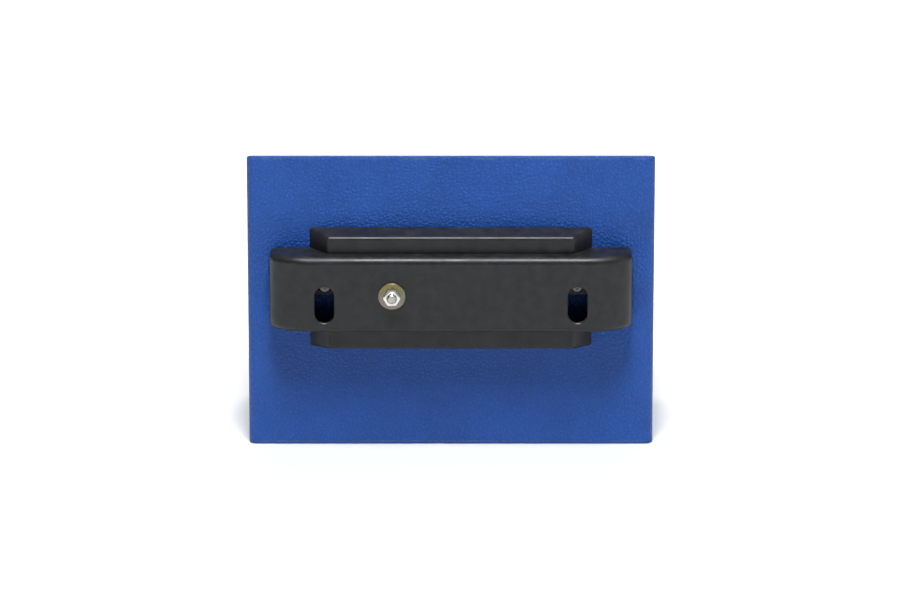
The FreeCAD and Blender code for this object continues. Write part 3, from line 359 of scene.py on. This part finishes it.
def circuit(name, mask):
    """Solder mask over copper tracks and tinned vias."""
    s = Surface(name, rough=0.32, Coat_Weight=0.4, Coat_Roughness=0.15)
    grid = s.add("ShaderNodeTexBrick", offset=0.5, squash=0.6)
    turned_up = s.add("ShaderNodeMapping")
    s.join(s.place, turned_up.inputs["Vector"])
    turned_up.inputs["Rotation"].default_value = (math.radians(90), 0, 0)
    s.join(turned_up.outputs[0], grid.inputs["Vector"])
    grid.inputs["Scale"].default_value = TRACKS_PER_METRE
    grid.inputs["Mortar Size"].default_value = 0.03
    grid.inputs["Color1"].default_value = (0, 0, 0, 1)
    grid.inputs["Color2"].default_value = (0.25, 0.25, 0.25, 1)
    grid.inputs["Mortar"].default_value = (1, 1, 1, 1)
    keep = s.level(s.noise(9 * MM, 1.0), 0.46, 0.50)
    track = s.maths("MULTIPLY", grid.outputs["Color"], keep)
    via = s.level(s.cells(3.2 * MM, randomness=0.7), 0.13, 0.10)
    copper = s.maths("MAXIMUM", track, 0.0, clamp=True)
    body = s.blend(copper, mask, (0.03, 0.30, 0.11))
    body = s.blend(s.maths("MULTIPLY", via, 0.9), body, (0.66, 0.60, 0.42))
    s.colour(body)
    s.bump(copper, 0.04 * MM, 0.6)
    return s.material


def paper_material(name, colour):
    """Wound paper: rings on the ends of the roll, faint layers round it."""
    s = Surface(name, rough=0.85, Specular_IOR_Level=0.2)
    at = middle("paper_roll")
    radius = s.distance_from("Y", "Z", at.y, at.z)
    rings = s.maths("SINE", s.maths("MULTIPLY", radius, 2 * math.pi / PAPER_RING))
    waver = s.noise(5 * MM, 4.0)
    tone = s.maths("ADD", s.level(rings, -1, 1, 0.0, 0.35), s.spread(waver, 0.0, 0.4), clamp=True)
    s.colour(s.blend(tone, shade(colour, 1.03), shade(colour, 0.82)))
    s.bump(rings, 0.05 * MM, 0.4)
    return s.material


def lit(name, colour, strength, rough=0.4):
    """A lamp or backlit panel."""
    s = Surface(name, rough=rough, Emission_Strength=strength)
    glow = s.noise(20 * MM, 2.0)
    s.colour(s.blend(s.spread(glow), shade(colour, 0.92), colour))
    s.join(colour, s.shader.inputs["Emission Color"])
    s.bump(s.noise(0.5 * MM, 2.0), 0.01 * MM, 0.3)
    return s.material


BLUE = (0.013, 0.072, 0.318)
FINISHES = {
    "body_blue": leather_paint("body_blue", BLUE),
    # the bracket's edges are painted lighter as a highlight, and its up-facing faces as a sheen
    "bracket_black": moulded("bracket_black", (0.0070, 0.0066, 0.0072), 0.40, 0.7, 2.2,
                             top_sheen=0.05, gloss=0.38),
    "bright_zinc": zinc("bright_zinc", (0.80, 0.79, 0.78), rough=0.34),
    "black_zinc": zinc("black_zinc", (0.085, 0.085, 0.09), rough=0.16),
    "yellow_zinc": passivated("yellow_zinc", (0.24, 0.20, 0.15)),
    "plain_steel": sheet_zinc("plain_steel", (0.66, 0.68, 0.70)),
    "stainless": brushed("stainless", (0.36, 0.36, 0.355), rough=0.36),
    "black_rubber": rubber("black_rubber", (0.018, 0.018, 0.018)),
    "bezel_black": moulded("bezel_black", (0.016, 0.016, 0.018), 0.40, 0.5, 1.8),
    "clear_window": glazing("clear_window", (0.93, 0.96, 0.96)),
    "display_grey": moulded("display_grey", (0.10, 0.11, 0.11), 0.45),
    "circuit_green": circuit("circuit_green", (0.006, 0.075, 0.030)),
    "button_grey": moulded("button_grey", (0.52, 0.53, 0.54), 0.34, 0.4, 1.15, clear=0.3),
    "button_green": moulded("button_green", (0.015, 0.30, 0.07), 0.32, 0.4, 1.4, clear=0.3),
    "button_red": moulded("button_red", (0.48, 0.015, 0.015), 0.32, 0.4, 1.3, clear=0.3),
    "pad_grey": moulded("pad_grey", (0.022, 0.024, 0.027), 0.20, 0.5, 1.6, clear=0.8),
    "flap_smoke": glazing("flap_smoke", (0.42, 0.44, 0.46), 0.06),
    "cup_grey": moulded("cup_grey", (0.055, 0.056, 0.060), 0.48, 0.6, 1.5),
    "device_black": moulded("device_black", (0.028, 0.028, 0.031), 0.50, 0.7, 1.7),
    "aluminium_can": brushed("aluminium_can", (0.80, 0.81, 0.82), "Z", 0.34),
    "battery_grey": moulded("battery_grey", (0.085, 0.092, 0.100), 0.55, 0.8, 1.4),
    "gear_white": moulded("gear_white", (0.70, 0.69, 0.64), 0.45, 0.4, 1.1),
    "lever_green": moulded("lever_green", (0.03, 0.30, 0.13), 0.36, 0.4, 1.3, clear=0.3),
    "thermal_paper": paper_material("thermal_paper", (0.86, 0.86, 0.83)),
}
# Finishes that only new pieces wear
BOLT_END = zinc("bolt_end", (0.46, 0.43, 0.39), rough=0.38)
LCD = lit("lcd_glass", (0.030, 0.075, 0.070), 0.35, 0.12)
SEGMENT_LIGHT = lit("segment_light", (0.72, 0.93, 0.86), 1.1)


# ---- camera, light and floor -----------------------------------------------------------------
ELEVATION = math.radians(17.45)
DISTANCE = 5.2
LENS = 236.3
SENSOR_W = 36.0
AIM = Vector((0.8 * MM, 0, -3.6 * MM))
DOME_STRENGTH = 0.12
FLOOR_REACH = 12.0


def camera():
    data = bpy.data.cameras.new("camera")
    data.lens = LENS
    data.sensor_width = SENSOR_W
    data.clip_end = 100.0
    eye = bpy.data.objects.new("camera", data)
    eye.location = AIM + DISTANCE * Vector((0, math.cos(ELEVATION), math.sin(ELEVATION)))
    eye.rotation_euler = (AIM - eye.location).to_track_quat("-Z", "Y").to_euler()
    bpy.context.scene.collection.objects.link(eye)
    bpy.context.scene.camera = eye


def softbox(name, at, aim, size, power, colour=(1, 1, 1)):
    data = bpy.data.lights.new(name, "AREA")
    data.shape = "DISK"
    data.size = size
    data.energy = power
    data.color = colour
    lamp = bpy.data.objects.new(name, data)
    lamp.location = at
    lamp.rotation_euler = (Vector(aim) - lamp.location).to_track_quat("-Z", "Y").to_euler()
    bpy.context.scene.collection.objects.link(lamp)


def sky():
    """A white dome, brighter and cooler overhead."""
    world = bpy.data.worlds.new("studio")
    world.use_nodes = True
    tree = world.node_tree
    back = tree.nodes["Background"]
    split = tree.nodes.new("ShaderNodeSeparateXYZ")
    tree.links.new(tree.nodes.new("ShaderNodeTexCoord").outputs["Generated"], split.inputs[0])
    ramp = tree.nodes.new("ShaderNodeValToRGB")
    low, high = ramp.color_ramp.elements
    low.color = (0.80, 0.80, 0.80, 1)
    high.color = (0.92, 0.97, 1.0, 1)
    tree.links.new(split.outputs["Z"], ramp.inputs["Fac"])
    tree.links.new(ramp.outputs["Color"], back.inputs["Color"])
    back.inputs["Strength"].default_value = DOME_STRENGTH
    bpy.context.scene.world = world


def floor():
    bm = bmesh.new()
    bmesh.ops.create_grid(bm, x_segments=8, y_segments=8, size=FLOOR_REACH)
    mesh = bpy.data.meshes.new("floor")
    bm.to_mesh(mesh)
    bm.free()
    ground = bpy.data.objects.new("floor", mesh)
    ground.location.z = cad_box[0][2]
    s = Surface("floor", rough=0.9, Specular_IOR_Level=0.1)
    s.colour(s.blend(s.noise(0.4, 3.0), (0.70, 0.70, 0.70), (0.73, 0.73, 0.73)))
    mesh.materials.append(s.material)
    bpy.context.scene.collection.objects.link(ground)


def studio():
    camera()
    sky()
    floor()
    softbox("overhead", at=(0, 1.0, 2.6), aim=(0, -0.1, 0), size=1.0, power=124,
            colour=(0.95, 0.98, 1.0))
    softbox("key", at=(-2.4, 0.9, 0.7), aim=(0, -0.1, 0), size=1.0, power=7)
    softbox("user_side", at=(0, -2.4, 2.6), aim=(0, -1.1, cad_box[0][2]), size=2.4, power=125)
    bpy.context.scene.view_settings.view_transform = "Standard"


# ---- CAD nodes keep their shape and take a finish --------------------------------------------
def dress_nodes():
    slots = {part["node"]: part["material_slot"] for part in frame["record"]["subparts"]}
    for name, node in NODES.items():
        node.data.materials.clear()
        node.data.materials.append(FINISHES[slots[name]])
        node.data.shade_smooth()
        node.data.set_sharp_from_angle(angle=SHARP)


# ---- new pieces ------------------------------------------------------------------------------
def new_piece(name, bm, material, body):
    bmesh.ops.recalc_face_normals(bm, faces=bm.faces)
    mesh = bpy.data.meshes.new(name)
    bm.to_mesh(mesh)
    bm.free()
    mesh.materials.append(material)
    mesh.shade_smooth()
    mesh.set_sharp_from_angle(angle=SHARP)
    piece = bpy.data.objects.new(name, mesh)
    bpy.context.scene.collection.objects.link(piece)
    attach(piece, body)
    return piece


def turned(bm, centre, outline, steps):
    """A closed skin round a Y axis; outline(angle) gives its (radius, y) points, in order."""
    loops = []
    for k in range(steps):
        angle = 2 * math.pi * k / steps
        across, up = math.cos(angle), math.sin(angle)
        loops.append([bm.verts.new((centre.x + r * across, y, centre.z + r * up))
                      for r, y in outline(angle)])
    for here, there in zip(loops, loops[1:] + loops[:1]):
        for j in range(len(here)):
            n = (j + 1) % len(here)
            bm.faces.new((here[j], here[n], there[n], there[j]))
    bmesh.ops.remove_doubles(bm, verts=bm.verts, dist=1e-7)


def hexagon_radius(across_flats, angle):
    """Distance to a hexagon's side, with a corner at angle 0."""
    return across_flats / 2 / math.cos(angle % (math.pi / 3) - math.pi / 6)


BOLT_R = 4.0 * MM
BOLT_CHAMFER = 0.9 * MM
THREAD_PITCH = 1.25 * MM
THREAD_DEPTH = 0.6 * MM
POINTS_PER_PITCH = 8
HEAD_H = 5.3 * MM
HEAD_FLAT_SHARE = 0.475       # radius of the head's flat end, as a share of its width across flats
NUT_FLAT_SHARE = 0.44         # the same for the nut
NUT_PLAY = 0.05 * MM
NUT_COUNTERSINK = 0.55 * MM
WASHER_PLAY = 0.25 * MM
WASHER_ROLL = 0.45 * MM       # round of the front edge, where the washer was punched
WASHER_BREAK = 0.2 * MM       # chamfer of the rear edge
CHAMFER_SLOPE = math.tan(math.radians(30))


def nut_piece():
    low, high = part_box("bracket_nut")
    flats = high.z - low.z
    bore, lead, flat = BOLT_R + NUT_PLAY, NUT_COUNTERSINK, NUT_FLAT_SHARE * flats

    def outline(angle):
        r = hexagon_radius(flats, angle)
        drop = (r - flat) * CHAMFER_SLOPE
        return [(bore, low.y + lead), (bore + lead, low.y), (flat, low.y), (r, low.y + drop),
                (r, high.y - drop), (flat, high.y), (bore + lead, high.y), (bore, high.y - lead)]
    bm = bmesh.new()
    turned(bm, middle("bracket_nut"), outline, 144)
    piece = new_piece("nut_chamfered", bm, FINISHES["bright_zinc"], "cabinet")
    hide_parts("bracket_nut")


def washer_piece():
    low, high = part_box("bracket_washer")
    rim, bore = (high.x - low.x) / 2, BOLT_R + WASHER_PLAY
    rolled = [(rim - WASHER_ROLL * (1 - math.sin(t)), high.y - WASHER_ROLL * (1 - math.cos(t)))
              for t in (math.pi / 2, math.pi / 3, math.pi / 6, 0)]
    points = [(bore, low.y), (rim - WASHER_BREAK, low.y), (rim, low.y + WASHER_BREAK), *rolled,
              (bore, high.y)]
    bm = bmesh.new()
    turned(bm, middle("bracket_washer"), lambda angle: points, 96)
    piece = new_piece("washer_rolled_edge", bm, FINISHES["yellow_zinc"], "cabinet")
    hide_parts("bracket_washer")


def bolt_piece():
    """Hexagon head inside the cabinet, plain shank, and a cut thread up to the chamfered end."""
    low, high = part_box("bracket_bolt")
    flats = high.z - low.z
    under, thread_from = low.y + HEAD_H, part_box("bracket_washer")[0].y
    flat = HEAD_FLAT_SHARE * flats
    count = int((high.y - thread_from) / (THREAD_PITCH / POINTS_PER_PITCH))

    def outline(angle):
        r = hexagon_radius(flats, angle)
        points = [(0, low.y), (flat, low.y), (r, low.y + (r - flat) * CHAMFER_SLOPE), (r, under),
                  (BOLT_R, under), (BOLT_R, thread_from)]
        for k in range(1, count + 1):
            y = thread_from + k * (high.y - thread_from) / count
            turn = (y / THREAD_PITCH - angle / (2 * math.pi)) % 1.0
            cut = THREAD_DEPTH * (1 - abs(2 * turn - 1))
            points.append((min(BOLT_R - cut, BOLT_R - (y - high.y + BOLT_CHAMFER)), y))
        return points + [(0, high.y)]
    bm = bmesh.new()
    turned(bm, middle("bracket_nut"), outline, 72)
    piece = new_piece("bolt_threaded", bm, BOLT_END, "cabinet")
    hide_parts("bracket_bolt")


def plate(bm, points, y0, y1):
    """A thin plate with the outline of (x, z) points."""
    face = bm.faces.new([bm.verts.new((x, y0, z)) for x, z in points])
    grown = bmesh.ops.extrude_face_region(bm, geom=[face])
    moved = [v for v in grown["geom"] if isinstance(v, bmesh.types.BMVert)]
    bmesh.ops.translate(bm, verts=moved, vec=(0, y1 - y0, 0))


def rounded(x, z, w, h, r):
    """The outline of a rectangle with rounded corners."""
    points = []
    for k, (sx, sz) in enumerate(((1, 1), (-1, 1), (-1, -1), (1, -1))):
        for j in range(CORNER_STEPS + 1):
            angle = math.pi / 2 * (k + j / CORNER_STEPS)
            points.append((x + sx * (w / 2 - r) + r * math.cos(angle),
                           z + sz * (h / 2 - r) + r * math.sin(angle)))
    return points


def bar(x0, z0, x1, z1, width):
    """A straight stroke with pointed ends, as a segment or a stroke of an icon."""
    along = Vector((x1 - x0, z1 - z0)).normalized() * width / 2
    side = Vector((-along.y, along.x))
    a, b = Vector((x0, z0)), Vector((x1, z1))
    corners = (a, a + along + side, b - along + side, b, b - along - side, a + along - side)
    return [tuple(corner) for corner in corners]


CORNER_STEPS = 6
GLASS_INSET = 4 * MM
GLASS_T = 0.6 * MM
GLASS_CORNER = 1.5 * MM
SEGMENT_T = 0.18 * MM
DIGITS_BELOW = 2 * MM         # foot of the digits below the middle of the window
DASHES, DASH_PITCH, DASH_W, DASH_H, DASH_CORNER = 8, 11 * MM, 8 * MM, 2 * MM, 0.6 * MM
MARK_PROUD, MARK_SUNK = 0.12 * MM, 0.02 * MM

SEGMENTS = {"0": "abcdef", "1": "bc", "2": "abged", "3": "abgcd", "4": "fgbc", "5": "afgcd",
            "6": "afgedc", "7": "abc", "8": "abcdefg", "9": "abcdfg"}
SEGMENT_ENDS = {"a": (0, 1, 1, 1), "b": (1, 0.5, 1, 1), "c": (1, 0, 1, 0.5), "d": (0, 0, 1, 0),
                "e": (0, 0, 0, 0.5), "f": (0, 0.5, 0, 1), "g": (0, 0.5, 1, 0.5)}


def digits(bm, text, x, z, w, h, y0, y1, width):
    """Seven-segment figures, each w wide and h high, from the lower left corner (x, z)."""
    for mark in text:
        for name in SEGMENTS.get(mark, ""):
            u0, v0, u1, v1 = SEGMENT_ENDS[name]
            plate(bm, bar(x + u0 * w, z + v0 * h, x + u1 * w, z + v1 * h, width), y0, y1)
        for share in {":": (0.3, 0.7), ".": (0,)}.get(mark, ()):
            plate(bm, rounded(x, z + share * h, width, width, width * 0.3), y0, y1)
        x += w * (1.6 if mark in SEGMENTS else 0.6)


def display_pieces():
    """The glass of the liquid-crystal panel in front of its module, with its lit segments."""
    at, front = middle("display_window"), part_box("display_module")[0].y
    low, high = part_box("display_window")
    w, h = high.x - low.x - 2 * GLASS_INSET, high.z - low.z - 2 * GLASS_INSET
    y0, y1 = front - GLASS_T - SEGMENT_T, front - GLASS_T
    bm = bmesh.new()
    plate(bm, rounded(at.x, at.z, w, h, GLASS_CORNER), y1, front)
    new_piece("display_glass", bm, LCD, "door_assembly")
    bm = bmesh.new()
    base = at.z - DIGITS_BELOW
    digits(bm, "12:45", at.x - 0.40 * w, base, w=9 * MM, h=18 * MM, y0=y0, y1=y1, width=1.9 * MM)
    digits(bm, "2.50", at.x + 0.22 * w, base, w=5.2 * MM, h=10.5 * MM, y0=y0, y1=y1,
           width=1.3 * MM)
    for k in range(DASHES):
        x = at.x + (k - (DASHES - 1) / 2) * DASH_PITCH
        plate(bm, rounded(x, at.z - 0.34 * h, DASH_W, DASH_H, DASH_CORNER), y0, y1)
    new_piece("display_segments", bm, SEGMENT_LIGHT, "door_assembly")


def icon(name, node, body, material, slot, *outlines):
    """Thin marks on the front of a node; outlines are in millimetres from its middle."""
    at, front = middle(node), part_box(node)[0].y
    bm = bmesh.new()
    for outline in outlines:
        points = [(at.x + x * MM, at.z + z * MM) for x, z in outline]
        plate(bm, points, front - MARK_PROUD, front + MARK_SUNK)
    new_piece(name, bm, material, body)


def frame_strokes(x, z, w, h, width):
    """The outline of a rectangle as four strokes that stop short of each other."""
    left, right, low, high = x - w / 2, x + w / 2, z - h / 2, z + h / 2
    g = 0.6 * width
    return [bar(left + g, low, right - g, low, width), bar(left + g, high, right - g, high, width),
            bar(left, low + g, left, high - g, width), bar(right, low + g, right, high - g, width)]


def ring_strokes(x, z, r, width, count=12):
    """A circle of short separate strokes."""
    turn, share = 2 * math.pi / count, 0.36
    return [bar(x + r * math.cos((k - share) * turn), z + r * math.sin((k - share) * turn),
                x + r * math.cos((k + share) * turn), z + r * math.sin((k + share) * turn), width)
            for k in range(count)]


def icons():
    dark, pale = FINISHES["bezel_black"], FINISHES["gear_white"]
    icon("mark_card", "contactless_pad", "door_assembly", pale, "gear_white",
         *frame_strokes(0, 0, 30, 19, 1.2), bar(-11, 3.5, 11, 3.5, 2.0),
         bar(-11, -4.5, -3, -4.5, 1.2))
    icon("mark_coin", "coin_entry", "door_assembly", dark, "bezel_black",
         *ring_strokes(-14, 0, 5.0, 1.0), bar(-14, -2.2, -14, 2.2, 1.0))
    icon("mark_up", "button_up", "up_button", dark, "bezel_black",
         [(-3.2, -1.8), (3.2, -1.8), (0, 3.0)])
    icon("mark_down", "button_down", "down_button", dark, "bezel_black",
         [(-3.2, 1.8), (0, -3.0), (3.2, 1.8)])
    icon("mark_confirm", "button_confirm", "confirm_button", pale, "gear_white",
         [(-3.2, 0.2), (-2.2, 1.2), (-0.9, -0.3), (2.4, 3.0), (3.4, 2.0), (-0.9, -2.4)])
    icon("mark_cancel", "button_cancel", "cancel_button", pale, "gear_white",
         bar(-2.9, -2.9, 2.9, 2.9, 1.3), bar(-2.9, 2.9, -0.5, 0.5, 1.3),
         bar(0.5, -0.5, 2.9, -2.9, 1.3))


BOARD_T = 1.6 * MM
BOARD_MARGIN = 0.05 * MM
CAPS_X = (65 * MM, 111 * MM)  # where the control board's capacitors stand
CAPS_Z = 6.2 * MM


def dress_boards():
    """Parts that stand on a circuit board are black, apart from the control board's capacitors."""
    black, can = FINISHES["device_black"], FINISHES["aluminium_can"]
    for name, side in (("control_board", -1), ("display_board", 1), ("contactless_board", 1)):
        low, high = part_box(name)
        mesh = NODES[name].data
        mesh.materials.append(black)
        mesh.materials.append(can)
        for face in mesh.polygons:
            at = face.center
            proud = high.y - at.y if side < 0 else at.y - low.y
            if proud > BOARD_T + BOARD_MARGIN:
                near_caps = side < 0 and abs(at.z) < CAPS_Z and CAPS_X[0] < at.x < CAPS_X[1]
                face.material_index = 2 if near_caps else 1


studio()
dress_nodes()
dress_boards()
nut_piece()
washer_piece()
bolt_piece()
display_pieces()
icons()
